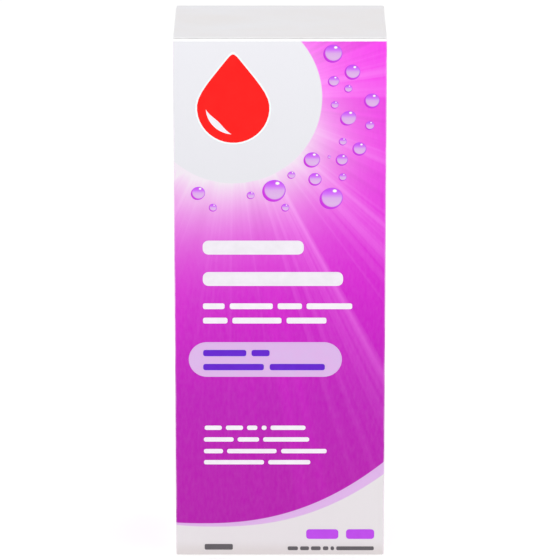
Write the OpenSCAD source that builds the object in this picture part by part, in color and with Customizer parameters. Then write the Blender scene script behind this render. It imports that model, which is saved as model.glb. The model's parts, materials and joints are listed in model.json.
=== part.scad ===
// A 355 ml bottle of contact lens solution in its folding carton.
// The carton is a reverse tuck end: the top closure is hinged on the back panel and tucks in behind the
// front panel, and the bottom closure is the same thing turned over, hinged on the front panel.
// Inside stand an oval squeeze bottle with a screw cap, and a folded leaflet.
// Frame: +Z up, the front panel faces -Y, and the origin is the middle of the base.

/* [Carton] */
// Width of the carton, side to side
carton_w = 73; // [73:0.5:76]
// Depth of the carton, front to back
carton_d = 49; // [49:0.5:52]
// Height of the carton
carton_h = 187; // [187:1:195]
// Thickness of the paperboard
board_t = 0.5; // [0.45:0.01:0.5]

/* [Flaps] */
// Length of each tuck tongue from its crease
tongue_l = 11; // [9:0.5:11]
// How far each tongue leans in from the wall behind which it is tucked, in degrees
tongue_lean = 7.5; // [7:0.1:7.8]
// Length of each dust flap from its crease
dust_l = 22; // [18:1:22]
// Width of the glue flap that closes the sleeve
glue_flap_w = 12; // [8:1:14]

/* [Bottle] */
// Width of the bottle's oval body
bottle_w = 70.4; // [68:0.2:70.4]
// Depth of the bottle's oval body
bottle_d = 43.4; // [40:0.2:43.4]
// How square the oval is: 2 is an ellipse and larger is squarer
bottle_square = 3.4; // [2.4:0.1:4]
// Thickness of the bottle's wall
bottle_wall = 0.9; // [0.7:0.05:1.2]
// Height of the shoulder, from the straight wall to the neck
shoulder_h = 21; // [18:1:24]
// Depth of the hollow under the base
base_hollow = 1.5; // [0.8:0.1:2]

/* [Neck and cap] */
// Outer radius of the neck under the thread
neck_r = 10.8; // [10.4:0.1:11]
// Inner radius of the neck
neck_bore_r = 9.2; // [8.8:0.1:9.4]
// Rise of the thread in one turn
thread_pitch = 3.175; // [2.8:0.005:3.4]
// Outer radius of the cap over its ribs
cap_r = 13.5; // [13.4:0.1:14]
// Number of grip ribs round the cap
cap_ribs = 60; // [36:4:72]
// Radius of the hole in the nozzle
nozzle_bore_r = 0.8; // [0.5:0.1:1]
// Free height over the cap in the closed carton
cap_headroom = 5.5; // [5:0.1:7]

/* [Paper] */
// Height of each bottle label
label_h = 86; // [60:1:95]
// Half the width of each bottle label
label_half_w = 27; // [20:1:28]
// Thickness of the folded leaflet
leaflet_t = 1.5; // [0.8:0.1:1.5]
// Width of the folded leaflet
leaflet_w = 56; // [40:1:60]
// Height of the folded leaflet
leaflet_h = 118; // [80:1:120]

/* [Hidden] */
$fn = 64;

// Carton: creases and clearances
half_w = carton_w / 2;
half_d = carton_d / 2;
half_t = board_t / 2;
layer_gap = 0.1;                         // between boards that lie on each other
closure_start = 0.7;                     // from the closure's crease line to its board
crease_start = 0.45;                     // the same at a dust flap and at a tongue
closure_side_gap = 0.3;                  // beside the closure panel
raw_edge_drop = 0.3;                     // how far the wall in front of a tongue stops short
tongue_gap = 0.5;                        // from that wall's inner face to the tongue's crease line
tongue_side_gap = 1.2;
tongue_corner_r = 7;
dust_axis_z = carton_h - board_t - layer_gap - half_t;
dust_back_gap = 1;
dust_back_taper = 10;                    // how far the back edge has come in at the free end
dust_front_gap = 2.4;
dust_front_taper = 3;
dust_corner_r = 2.5;
closure_axis_y = half_d - half_t;
crease_fn = 20;
tongue_axis_y = -half_d + board_t + tongue_gap;
glue_t = 0.1;
glue_end_gap = 6;

// Bottle: heights
base_z = 2 * board_t + 2 * layer_gap;
cap_top_z = carton_h - 2 * board_t - layer_gap - cap_headroom;
rim_z = cap_top_z - 12;
neck_z = rim_z - 16.5;
shoulder_z = neck_z - shoulder_h;
half_bw = bottle_w / 2;
half_bd = bottle_d / 2;
foot_r = 4;
shoulder_end = 78;                       // angle at which the shoulder's curve meets the neck
oval_steps = 64;
liquid_gap = 0.03;
shoulder_steps = 9;
fill_step = 4;                           // the step of the shoulder to which the bottle is filled

// Neck finish
bead_r = 11.9;
bead_z = rim_z - 13.6;
thread_r = 11.9;
thread_turns = 1.25;
thread_top_z = rim_z - 2.4;
thread_steps = 24;                       // per turn
thread_start = 1.4;                      // angle at which each thread begins
cap_bore_r = 12.3;
cap_thread_r = 11.2;
cap_bottom_z = rim_z - 12.2;
cap_wall_top = 1.8;
cap_rib_depth = 0.35;
cap_edge_r = 1.6;
nozzle_tip_z = cap_top_z - cap_wall_top - 1.4;
liner_t = 1.2;
liner_r = 9;
ring_gap = 0.2;
ring_h = 2.8;

// Labels and leaflet
label_t = 0.12;
label_gap = 0.03;
label_z = base_z + 34;
leaflet_z = 12.2;
leaflet_gap = 0.45;

// ---------- Shapes that repeat ----------

// Points on an arc, from angle a0 to a1
function arc(cx, cy, r, a0, a1, steps = 8) =
    [for (i = [0:steps]) let (a = a0 + (a1 - a0) * i / steps) [cx + r * cos(a), cy + r * sin(a)]];

// One level of a squared oval: x and y half-axes a and b, squareness n
function oval_point(a, b, n, angle) = [
    a * sign(cos(angle)) * pow(abs(cos(angle)), 2 / n),
    b * sign(sin(angle)) * pow(abs(sin(angle)), 2 / n)
];
function oval(a, b, n) = [for (i = [0:oval_steps - 1]) oval_point(a, b, n, 360 * i / oval_steps)];

// A closed solid through levels [z, a, b, n], flat across its first and last level
module oval_solid(levels) {
    rings = len(levels);
    points = [for (v = levels) for (p = oval(v[1], v[2], v[3])) [p[0], p[1], v[0]]];
    first = [0, 0, levels[0][0]];
    last = [0, 0, levels[rings - 1][0]];
    n = oval_steps;
    sides = [
        for (r = [0:rings - 2]) for (i = [0:n - 1]) let (j = (i + 1) % n)
            each [
                [r * n + i, (r + 1) * n + i, (r + 1) * n + j],
                [r * n + i, (r + 1) * n + j, r * n + j]
            ]
    ];
    bottom = [for (i = [0:n - 1]) [rings * n, i, (i + 1) % n]];
    top = [for (i = [0:n - 1]) [rings * n + 1, (rings - 1) * n + (i + 1) % n, (rings - 1) * n + i]];
    polyhedron(concat(points, [first, last]), concat(sides, bottom, top));
}

// The bottle's surface, moved in by inset: its foot, wall and shoulder as levels going up
function foot_levels(inset) = [
    for (angle = [0:22.5:90]) let (r = foot_r - inset)
        [base_z + inset + r * (1 - sin(angle)), half_bw - foot_r + r * cos(angle),
            half_bd - foot_r + r * cos(angle), bottle_square]
];
function shoulder_levels(inset, end_r) = [
    for (angle = [0:shoulder_end / shoulder_steps:shoulder_end])
        let (k = (cos(angle) - cos(shoulder_end)) / (1 - cos(shoulder_end)))
            [shoulder_z + (neck_z - shoulder_z - inset) * sin(angle) / sin(shoulder_end),
                end_r + (half_bw - inset - end_r) * k, end_r + (half_bd - inset - end_r) * k,
                2 + (bottle_square - 2) * k]
];
function neck_level(z, r) = [[z, r, r, 2]];
function reversed(list) = [for (i = [len(list) - 1:-1:0]) list[i]];
function base_levels(inset) = [
    [base_z + base_hollow + inset, half_bw - 4 * foot_r, half_bd - 3 * foot_r, bottle_square],
    [base_z + inset, half_bw - 1.6 * foot_r, half_bd - 1.6 * foot_r, bottle_square]
];

// A thread of one start that winds up round the axis, on a wall at root_r and out or in to crest_r
module helical_thread(root_r, crest_r, top_z, sunk) {
    steps = thread_turns * thread_steps;
    root_w = 1.5;
    crest_w = 0.8;
    runout = thread_steps / 8;
    points = [
        for (i = [0:steps])
            let (angle = 360 * i / thread_steps,
                z = top_z - thread_pitch * (thread_turns - i / thread_steps),
                back = root_r + sunk * sign(root_r - crest_r),
                full = min(1, (min(i, steps - i) + 0.5) / runout),
                r = back + (crest_r - back) * full)
                each [
                    [back * cos(angle), back * sin(angle), z - root_w / 2],
                    [r * cos(angle), r * sin(angle), z - crest_w / 2],
                    [r * cos(angle), r * sin(angle), z + crest_w / 2],
                    [back * cos(angle), back * sin(angle), z + root_w / 2]
                ]
    ];
    outward = crest_r > root_r;
    sides = [
        for (i = [0:steps - 1]) for (k = [0:3])
            let (a = 4 * i + k, b = 4 * i + (k + 1) % 4, c = b + 4, d = a + 4)
                each outward ? [[a, b, c], [a, c, d]] : [[a, c, b], [a, d, c]]
    ];
    e = 4 * steps;
    ends = outward ? [[3, 2, 1, 0], [e, e + 1, e + 2, e + 3]] : [[0, 1, 2, 3], [e + 3, e + 2, e + 1, e]];
    rotate([0, 0, thread_start]) polyhedron(points, concat(sides, ends));
}

// Turns a part of the top end over, so that it closes the bottom end with its hinge on the front panel
module turned_over() {
    translate([0, 0, carton_h]) rotate([180, 0, 0]) children();
}

// ---------- Carton: the sleeve ----------

module wall(x0, x1, y0, y1, z0, z1) {
    translate([x0, y0, z0]) cube([x1 - x0, y1 - y0, z1 - z0]);
}

// The bead of folded board along a crease; its axis is the hinge axis.
module crease_x(half_length, y, z) {
    translate([-half_length, y, z]) rotate([0, 90, 0]) cylinder(h = 2 * half_length, r = half_t, $fn = crease_fn);
}

module crease_y(half_length, x, z) {
    translate([x, half_length, z]) rotate([90, 0, 0]) cylinder(h = 2 * half_length, r = half_t, $fn = crease_fn);
}

module front_panel() {
    crease = half_t;
    color("orchid") union() {
        wall(-half_w, half_w, -half_d, -half_d + board_t, crease, carton_h - raw_edge_drop);
        crease_x(half_w, -half_d + half_t, crease);
    }
}

module back_panel() {
    crease = carton_h - half_t;
    color("orchid") union() {
        wall(-half_w, half_w, half_d - board_t, half_d, raw_edge_drop, crease);
        crease_x(half_w, half_d - half_t, crease);
    }
}

module side_panel(side) {
    inner = half_w - board_t;
    crease = side * (inner + half_t);
    length = half_d - board_t;
    color("orchid") union() {
        wall(min(side * inner, side * half_w), max(side * inner, side * half_w),
            -length, length, carton_h - dust_axis_z, dust_axis_z);
        crease_y(length, crease, dust_axis_z);
        crease_y(length, crease, carton_h - dust_axis_z);
    }
}

module glue_strip(x0, x1, width, end_gap) {
    back = half_d - board_t;
    taper = 5;
    translate([x0, 0, 0]) rotate([90, 0, 90]) linear_extrude(x1 - x0)
        polygon([
            [back, end_gap], [back - width, end_gap + taper],
            [back - width, carton_h - end_gap - taper], [back, carton_h - end_gap]
        ]);
}

module glue_flap() {
    color("white")
        glue_strip(-half_w + board_t + glue_t, -half_w + 2 * board_t + glue_t, glue_flap_w, glue_end_gap);
}

module seam_glue() {
    margin = 2;
    x0 = -half_w + board_t;
    color("ivory")
        translate([0, -margin / 2, 0])
            glue_strip(x0, x0 + glue_t, glue_flap_w - margin, glue_end_gap + margin);
}

// ---------- Carton: the flaps of one end ----------

module closure_panel() {
    w = half_w - closure_side_gap;
    color("white") union() {
        wall(-w, w, tongue_axis_y, closure_axis_y - closure_start, carton_h - board_t, carton_h);
        crease_x(w, tongue_axis_y, carton_h - half_t);
    }
}

module tuck_tongue() {
    w = half_w - tongue_side_gap;
    r = tongue_corner_r;
    outline = concat(
        [[-w, crease_start]],
        arc(-w + r, tongue_l - r, r, 180, 90),
        arc(w - r, tongue_l - r, r, 90, 0),
        [[w, crease_start]]
    );
    color("white")
        translate([0, tongue_axis_y, carton_h - half_t]) rotate([-90 + tongue_lean, 0, 0])
            translate([0, 0, -half_t]) linear_extrude(board_t) polygon(outline);
}

module dust_flap(side) {
    back = half_d - board_t - dust_back_gap;
    front = -half_d + board_t + dust_front_gap;
    r = dust_corner_r;
    outline = concat(
        [[crease_start, back]],
        arc(dust_l - r, back - dust_back_taper - r, r, 60, 0),
        arc(dust_l - r, front + dust_front_taper + r, r, 0, -80),
        [[crease_start, front]]
    );
    color("white")
        translate([side * (half_w - half_t), 0, dust_axis_z - half_t]) mirror([side > 0 ? 1 : 0, 0, 0])
            linear_extrude(board_t) polygon(outline);
}

// ---------- Bottle ----------

module bottle() {
    outside = concat(
        base_levels(0), reversed(foot_levels(0)), shoulder_levels(0, neck_r),
        neck_level(bead_z - 0.7, neck_r), neck_level(bead_z - 0.5, bead_r),
        neck_level(bead_z, bead_r), neck_level(bead_z + 0.6, neck_r),
        neck_level(rim_z - 0.4, neck_r), neck_level(rim_z, neck_r - 0.4)
    );
    inside = concat(
        base_levels(bottle_wall), reversed(foot_levels(bottle_wall)),
        shoulder_levels(bottle_wall, neck_bore_r), neck_level(rim_z, neck_bore_r)
    );
    color("white") {
        oval_solid(concat(outside, reversed(inside)));
        helical_thread(neck_r, thread_r, thread_top_z, 0.4);
    }
}

module saline_solution() {
    inset = bottle_wall + liquid_gap;
    full = shoulder_levels(inset, neck_bore_r - liquid_gap);
    below = [for (i = [0:fill_step]) full[i]];
    color("lightcyan", 0.4)
        oval_solid(concat(base_levels(inset), reversed(foot_levels(inset)), below));
}

module nozzle_insert() {
    flange_z = rim_z + layer_gap / 2;
    plug_r = neck_bore_r - 0.02;
    color("white") rotate_extrude() polygon([
        [nozzle_bore_r, nozzle_tip_z], [nozzle_bore_r, flange_z + 3.4], [3.4, flange_z - 0.4],
        [plug_r - 1, flange_z - 1], [plug_r - 1, flange_z - 6.5], [plug_r - 0.3, flange_z - 6.5],
        [plug_r, flange_z - 5.5], [plug_r, flange_z], [neck_r - 0.3, flange_z],
        [neck_r - 0.3, flange_z + 1.2], [7.6, flange_z + 1.2], [6.9, flange_z + 1.5],
        [3.3, flange_z + 4.2], [2.7, nozzle_tip_z - 0.5], [2.2, nozzle_tip_z]
    ]);
}

module tamper_ring() {
    top = cap_bottom_z - ring_gap;
    color("white") rotate_extrude() polygon([
        [bead_r + 0.15, top], [cap_r - 0.1, top], [cap_r - 0.1, top - ring_h], [neck_r + 0.3, top - ring_h],
        [neck_r + 0.3, top - ring_h + 0.5], [bead_r + 0.15, top - ring_h + 1]
    ]);
}

module cap_liner() {
    color("aliceblue")
        translate([0, 0, nozzle_tip_z + layer_gap]) cylinder(r = liner_r, h = liner_t);
}

function rib_radius(quarter) = cap_r - (quarter < 2 ? 0 : cap_rib_depth);

module screw_cap() {
    under_top = cap_top_z - cap_wall_top;
    ribs = [
        for (i = [0:cap_ribs - 1]) for (q = [0:3])
            let (angle = (i + q / 4) * 360 / cap_ribs, r = rib_radius(q)) [r * cos(angle), r * sin(angle)]
    ];
    edge_r = cap_r - cap_rib_depth - 0.1;
    silhouette = concat(
        [[0, cap_bottom_z], [edge_r, cap_bottom_z], [cap_r + 0.1, cap_bottom_z + 0.9]],
        [[cap_r + 0.1, cap_top_z - cap_edge_r - 1.4]],
        arc(edge_r - cap_edge_r, cap_top_z - cap_edge_r, cap_edge_r, 0, 90),
        [[0, cap_top_z]]
    );
    color("white") {
        difference() {
            intersection() {
                translate([0, 0, cap_bottom_z]) linear_extrude(cap_top_z - cap_bottom_z) polygon(ribs);
                rotate_extrude() polygon(silhouette);
            }
            rotate_extrude() polygon([
                [0, cap_bottom_z - 1], [cap_bore_r, cap_bottom_z - 1], [cap_bore_r, rim_z + 0.6],
                [liner_r + 0.3, rim_z + 3], [liner_r + 0.3, under_top], [0, under_top]
            ]);
        }
        helical_thread(cap_bore_r, cap_thread_r, thread_top_z - thread_pitch / 2, 0.3);
    }
}

// ---------- Paper ----------

// A label on the bottle's straight wall, on the side that angle faces
module label(angle) {
    span = acos(pow(label_half_w / half_bw, bottle_square / 2));
    steps = 24;
    angles = [for (i = [0:steps]) angle - (90 - span) + 2 * (90 - span) * i / steps];
    near = [for (v = angles) oval_point(half_bw + label_gap, half_bd + label_gap, bottle_square, v)];
    far = [for (v = reversed(angles))
        oval_point(half_bw + label_gap + label_t, half_bd + label_gap + label_t, bottle_square, v)];
    color("lavender")
        translate([0, 0, label_z]) linear_extrude(label_h) polygon(concat(near, far));
}

module leaflet() {
    color("snow")
        wall(-leaflet_w / 2, leaflet_w / 2, half_bd + leaflet_gap, half_bd + leaflet_gap + leaflet_t,
            leaflet_z, leaflet_z + leaflet_h);
}

// ---------- Nodes ----------

front_panel();
back_panel();
side_panel(-1);  // left_side_panel
side_panel(1);  // right_side_panel
glue_flap();
seam_glue();
closure_panel();  // top_closure_panel
tuck_tongue();  // top_tuck_tongue
dust_flap(-1);  // top_dust_flap_left
dust_flap(1);  // top_dust_flap_right
turned_over() closure_panel();  // bottom_closure_panel
turned_over() tuck_tongue();  // bottom_tuck_tongue
turned_over() dust_flap(-1);  // bottom_dust_flap_left
turned_over() dust_flap(1);  // bottom_dust_flap_right
bottle();
saline_solution();
nozzle_insert();
tamper_ring();
cap_liner();
screw_cap();
label(-90);  // front_label
label(90);  // back_label
leaflet();
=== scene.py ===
import json
import math

import bpy
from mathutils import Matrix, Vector


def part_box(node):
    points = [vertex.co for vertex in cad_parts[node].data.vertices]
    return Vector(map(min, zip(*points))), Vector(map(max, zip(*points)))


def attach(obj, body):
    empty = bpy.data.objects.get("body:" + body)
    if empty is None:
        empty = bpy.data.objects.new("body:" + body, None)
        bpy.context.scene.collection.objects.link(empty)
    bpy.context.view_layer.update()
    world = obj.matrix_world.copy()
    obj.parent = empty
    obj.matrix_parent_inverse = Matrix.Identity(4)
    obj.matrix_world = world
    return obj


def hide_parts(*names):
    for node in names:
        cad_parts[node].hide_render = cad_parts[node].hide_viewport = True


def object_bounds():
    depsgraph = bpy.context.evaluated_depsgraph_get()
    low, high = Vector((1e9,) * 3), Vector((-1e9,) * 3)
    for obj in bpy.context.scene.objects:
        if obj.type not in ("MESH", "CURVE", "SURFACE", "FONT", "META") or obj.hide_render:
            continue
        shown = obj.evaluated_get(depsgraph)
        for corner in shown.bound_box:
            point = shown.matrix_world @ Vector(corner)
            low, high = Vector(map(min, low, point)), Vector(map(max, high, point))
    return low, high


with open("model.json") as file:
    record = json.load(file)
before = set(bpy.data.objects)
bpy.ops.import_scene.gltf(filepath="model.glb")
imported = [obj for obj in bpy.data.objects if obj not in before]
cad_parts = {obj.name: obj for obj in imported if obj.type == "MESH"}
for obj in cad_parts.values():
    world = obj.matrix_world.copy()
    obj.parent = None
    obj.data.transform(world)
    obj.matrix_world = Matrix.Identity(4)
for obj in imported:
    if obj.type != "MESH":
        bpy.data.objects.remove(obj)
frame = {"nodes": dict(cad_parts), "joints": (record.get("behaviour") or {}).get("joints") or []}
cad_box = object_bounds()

MM = 0.001

# -------------------------------------------------------- sizes, in millimetres, read from the frame

LO, HI = cad_box
W, D, H = (HI - LO) * 1000
HW, HD = W / 2, D / 2


def box_mm(node):
    lo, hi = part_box(node)
    return [c * 1000 for c in lo], [c * 1000 for c in hi]


def joint(name):
    return next(j for j in frame["joints"] if j["name"] == name)


def joint_mm(name):
    return [c * 1000 for c in joint(name)["pos_m"]]


T = box_mm("front_panel")[1][1] - box_mm("front_panel")[0][1]      # board thickness
HT = T / 2
FRONT_TOP = box_mm("front_panel")[1][2]
BACK_BOTTOM = box_mm("back_panel")[0][2]
SIDE_BOTTOM, SIDE_TOP = box_mm("left_side_panel")[0][2], box_mm("left_side_panel")[1][2]

# -------------------------------------------------------- colour and shader helpers


def srgb(r, g, b):
    def lin(c):
        c = c / 255
        return c / 12.92 if c <= 0.04045 else ((c + 0.055) / 1.055) ** 2.4
    return (lin(r), lin(g), lin(b), 1.0)


def tinted(colour, gain, lift=0.0):
    """The same colour, a little darker or lighter."""
    return tuple(min(1.0, c * gain + lift) for c in colour[:3]) + (1.0,)


class Shader:
    """A material's node tree, with short calls for the nodes that this scene uses."""

    def __init__(self, name):
        self.mat = bpy.data.materials.new(name)
        self.mat.use_nodes = True
        self.tree = self.mat.node_tree
        self.tree.nodes.clear()
        self.bsdf = self.tree.nodes.new("ShaderNodeBsdfPrincipled")
        out = self.tree.nodes.new("ShaderNodeOutputMaterial")
        self.link(self.bsdf.outputs[0], out.inputs["Surface"])
        self._object = None

    def link(self, a, b):
        self.tree.links.new(a, b)

    def put(self, socket, value):
        if isinstance(value, bpy.types.NodeSocket):
            self.link(value, socket)
        else:
            socket.default_value = value

    def set(self, **values):
        for key, value in values.items():
            self.put(self.bsdf.inputs[key.replace("_", " ")], value)

    def math(self, op, a, b=0.0, c=0.0, clamp=False):
        n = self.tree.nodes.new("ShaderNodeMath")
        n.operation = op
        n.use_clamp = clamp
        for i, v in enumerate((a, b, c)):
            self.put(n.inputs[i], v)
        return n.outputs[0]

    def remap(self, value, a, b, c=0.0, d=1.0, smooth=False):
        n = self.tree.nodes.new("ShaderNodeMapRange")
        n.interpolation_type = "SMOOTHSTEP" if smooth else "LINEAR"
        for name, v in (("Value", value), ("From Min", a), ("From Max", b), ("To Min", c), ("To Max", d)):
            self.put(n.inputs[name], v)
        return n.outputs[0]

    def distance(self, a, b):
        """How far the point (a, b) is from zero."""
        squares = self.math("ADD", self.math("MULTIPLY", a, a), self.math("MULTIPLY", b, b))
        return self.math("SQRT", squares)

    def mix(self, factor, a, b):
        n = self.tree.nodes.new("ShaderNodeMix")
        n.data_type = "RGBA"
        self.put(n.inputs[0], factor)
        self.put(n.inputs[6], a)
        self.put(n.inputs[7], b)
        return n.outputs[2]

    def ramp(self, value, stops):
        n = self.tree.nodes.new("ShaderNodeValToRGB")
        while len(n.color_ramp.elements) < len(stops):
            n.color_ramp.elements.new(0.5)
        for e, (place, colour) in zip(n.color_ramp.elements, stops):
            e.position = place
            e.color = colour
        self.put(n.inputs[0], value)
        return n.outputs[0]

    def noise(self, scale, detail=2.0, roughness=0.5, vector=None, w=None):
        n = self.tree.nodes.new("ShaderNodeTexNoise")
        if w is not None:
            n.noise_dimensions = "1D"
            self.put(n.inputs["W"], w)
        else:
            self.link(vector if vector is not None else self.object(), n.inputs["Vector"])
        n.inputs["Scale"].default_value = scale
        n.inputs["Detail"].default_value = detail
        n.inputs["Roughness"].default_value = roughness
        return n.outputs[0]

    def object(self):
        if self._object is None:
            self._object = self.tree.nodes.new("ShaderNodeTexCoord").outputs["Object"]
        return self._object

    def stretched(self, scale):
        n = self.tree.nodes.new("ShaderNodeMapping")
        self.link(self.object(), n.inputs["Vector"])
        n.inputs["Scale"].default_value = scale
        return n.outputs[0]

    def xyz(self, vector):
        n = self.tree.nodes.new("ShaderNodeSeparateXYZ")
        self.link(vector, n.inputs[0])
        return n.outputs

    def uv(self, name):
        n = self.tree.nodes.new("ShaderNodeUVMap")
        n.uv_map = name
        return n.outputs[0]

    def bump(self, height, strength, distance):
        n = self.tree.nodes.new("ShaderNodeBump")
        n.inputs["Strength"].default_value = strength
        n.inputs["Distance"].default_value = distance
        self.link(height, n.inputs["Height"])
        self.link(n.outputs[0], self.bsdf.inputs["Normal"])


# -------------------------------------------------------- materials

BOARD_WHITE = srgb(241, 238, 239)
LILAC = srgb(219, 178, 229)
VIOLET = srgb(96, 26, 200)
RED = srgb(255, 14, 12)

EMBLEM_X, EMBLEM_Z, HALO_R = -16.0, 166.2, 30.4  # the pale disc behind the emblem
FADE_Z = 187.0                                   # where the print's gradient ends
TOP_EDGE_HIGHLIGHT = 0.8                                 # painted highlight: height of the pure white band below the front's top edge
SOFT_EDGE = 0.14                                 # how far one printed colour blurs into the next
GRAIN_DEPTH = 0.00004                            # relief of the board's fibres, in metres


def paper_grain(s, amount, scale=900.0):
    """Fine fibre relief, and a mottle that varies the roughness a little."""
    fibre = s.noise(scale, 4.0, 0.6, vector=s.stretched((1.0, 1.0, 0.35)))
    s.bump(fibre, amount, GRAIN_DEPTH)
    return fibre


def swoosh_edge(s, along, lowest, steepness, centre, power):
    """Height of a curve that is lowest at -centre and climbs with a power of the distance from there."""
    off = s.math("ABSOLUTE", s.math("ADD", along, centre))
    return s.math("ADD", lowest, s.math("MULTIPLY", steepness, s.math("POWER", off, power)))


def board_print():
    """The printed outside of the sleeve: u runs round it from the middle of the front, v is the height."""
    s = Shader("carton_print")
    u, v, _ = s.xyz(s.uv("print"))
    u = s.math("MULTIPLY", u, 1000.0)
    v = s.math("MULTIPLY", v, 1000.0)
    x = s.math("MULTIPLY", s.xyz(s.object())[0], 1000.0)
    dx = s.math("SUBTRACT", u, EMBLEM_X)
    dz = s.math("SUBTRACT", v, EMBLEM_Z)
    r = s.distance(dx, dz)
    angle = s.math("ARCTAN2", dz, dx)
    beyond = s.math("MAXIMUM", s.math("SUBTRACT", r, HALO_R), 0.0)

    tone = s.ramp(s.remap(v, 0.0, FADE_Z), [
        (0.0, srgb(176, 0, 168)), (0.15, srgb(180, 4, 172)), (0.31, srgb(185, 3, 181)),
        (0.50, srgb(204, 7, 199)), (0.69, srgb(226, 32, 219)), (0.86, srgb(238, 42, 228)),
        (1.0, srgb(244, 50, 234)),
    ])
    # rays that spread from the halo: broad wedges and fine streaks
    wedge = s.noise(1.0, 0.0, 0.4, w=s.math("MULTIPLY_ADD", angle, 3.1, 4.0))
    broad = s.noise(1.0, 1.0, 0.4, w=s.math("MULTIPLY", angle, 8.5))
    fine = s.noise(1.0, 2.0, 0.5, w=s.math("MULTIPLY", angle, 26.0))
    narrow = s.math("MULTIPLY_ADD", broad, 0.36, s.math("MULTIPLY", fine, 0.24))
    rays = s.math("MULTIPLY_ADD", wedge, 0.40, narrow)
    near = s.math("EXPONENT", s.math("MULTIPLY", beyond, -0.013))
    contrast = s.math("MULTIPLY", s.math("SUBTRACT", rays, 0.5), near)
    lighter = s.remap(contrast, 0.01, 0.14, 0.0, 0.52)
    darker = s.remap(contrast, -0.01, -0.14, 0.0, 0.72)
    tone = s.mix(lighter, tone, srgb(248, 132, 244))
    tone = s.mix(darker, tone, srgb(214, 12, 206))
    # glow round the halo: white and wide at the lower left, a faint pink on the right
    below = s.math("MULTIPLY", s.math("SINE", s.math("ADD", angle, 0.10)), -1.0)
    low = s.remap(below, -0.25, 0.75, smooth=True)
    left = s.remap(dx, 10.0, -24.0, smooth=True)
    side = s.math("MULTIPLY", s.math("EXPONENT", s.math("MULTIPLY", beyond, -0.09)), 0.52)
    tone = s.mix(side, tone, srgb(255, 170, 250))
    reach = s.math("MULTIPLY", beyond, s.math("MULTIPLY_ADD", left, 0.020, -0.108))
    streak = s.remap(rays, 0.30, 0.70, 0.80, 1.20)
    strength = s.math("MULTIPLY", low, s.math("MULTIPLY_ADD", left, 0.30, 0.88))
    glow = s.math("MULTIPLY", s.math("EXPONENT", reach), strength)
    glow = s.math("MULTIPLY", glow, streak, clamp=True)
    art = s.mix(glow, tone, srgb(238, 228, 238))
    # the pale disc lightens towards the front's top edge: painted light, fading down from the edge's
    # highlight
    pale = s.mix(s.remap(v, 138.0, FRONT_TOP), srgb(227, 227, 232), srgb(234, 234, 239))
    art = s.mix(s.remap(r, HALO_R + SOFT_EDGE, HALO_R - SOFT_EDGE), art, pale)
    # the swoosh along the bottom
    along = s.math("MINIMUM", s.math("MAXIMUM", x, -HW), HW)
    over_purple = s.math("SUBTRACT", v, swoosh_edge(s, along, 11.9, 0.00164, 27.0, 2.3))
    over_lilac = s.math("SUBTRACT", v, swoosh_edge(s, along, 10.7, 0.00145, 22.9, 2.33))
    art = s.mix(s.remap(over_purple, 0.12, -0.12), art, LILAC)
    # below the swoosh the white darkens towards the base: painted shade where the carton meets the floor
    foot = s.mix(s.remap(v, 0.5, 6.0, smooth=True), srgb(218, 211, 211), srgb(227, 223, 225))
    art = s.mix(s.remap(over_lilac, 0.12, -0.12), art, foot)
    fibre = paper_grain(s, 0.06)
    art = s.mix(s.remap(fibre, 0.3, 0.7, 0.0, 0.02), art, srgb(255, 255, 255))
    # lighter pink along the upright creases, in patches
    y = s.math("MULTIPLY", s.xyz(s.object())[1], 1000.0)
    crease = s.math("MULTIPLY", s.remap(s.math("ABSOLUTE", x), HW - 0.50, HW - 0.12, smooth=True),
                    s.remap(s.math("ABSOLUTE", y), HD - 0.50, HD - 0.12, smooth=True))
    crease_patches = s.noise(160.0, 5.0, 0.7, vector=s.stretched((1.0, 1.0, 0.5)))
    crease_pale = s.remap(crease_patches, 0.36, 0.66, 0.12, 0.75)
    art = s.mix(s.math("MULTIPLY", crease, crease_pale), art, srgb(252, 236, 250))
    # painted highlight: a pure white band along the front's top edge, where light catches the edge, its
    # lower edge ragged with noise
    highlight_ragged = s.math("MULTIPLY", s.noise(900.0, 2.0, 0.5), 0.16)
    cut = s.math("ADD", v, highlight_ragged)
    highlight_start = FRONT_TOP - TOP_EDGE_HIGHLIGHT
    art = s.mix(s.remap(cut, highlight_start, highlight_start + SOFT_EDGE), art, srgb(255, 255, 255))
    s.set(Base_Color=art, Roughness=s.remap(fibre, 0.2, 0.8, 0.40, 0.50), Specular_IOR_Level=0.18)
    return s.mat


def board_coated():
    """The plain white coated face of the closures and flaps."""
    s = Shader("carton_white")
    cloud = s.noise(22.0, 3.0, 0.55, vector=s.stretched((1.0, 1.6, 1.0)))
    colour = s.mix(s.remap(cloud, 0.35, 0.7), BOARD_WHITE, srgb(243, 243, 247))
    fibre = paper_grain(s, 0.12)
    s.set(Base_Color=colour, Roughness=s.remap(fibre, 0.2, 0.8, 0.42, 0.56), Specular_IOR_Level=0.3)
    return s.mat


def board_inside():
    """The uncoated back of the board: off-white, with specks of fibre."""
    s = Shader("carton_inside")
    fleck = s.noise(420.0, 5.0, 0.7)
    colour = s.mix(s.remap(fleck, 0.40, 0.62), srgb(229, 226, 219), srgb(236, 233, 227))
    colour = s.mix(s.remap(s.noise(1500.0, 2.0, 0.5), 0.68, 0.80, 0.0, 0.5), colour, srgb(206, 199, 186))
    paper_grain(s, 0.20, 600.0)
    s.set(Base_Color=colour, Roughness=0.82, Specular_IOR_Level=0.2)
    return s.mat


def board_edge():
    """The raw cut edge of the board: layered fibres."""
    s = Shader("carton_edge")
    layer = s.noise(2600.0, 3.0, 0.6, vector=s.stretched((0.08, 1.0, 0.08)))
    colour = s.mix(s.remap(layer, 0.3, 0.7), srgb(238, 236, 232), srgb(250, 249, 247))
    s.bump(layer, 0.3, GRAIN_DEPTH)
    s.set(Base_Color=colour, Roughness=0.9, Specular_IOR_Level=0.15)
    return s.mat


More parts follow.
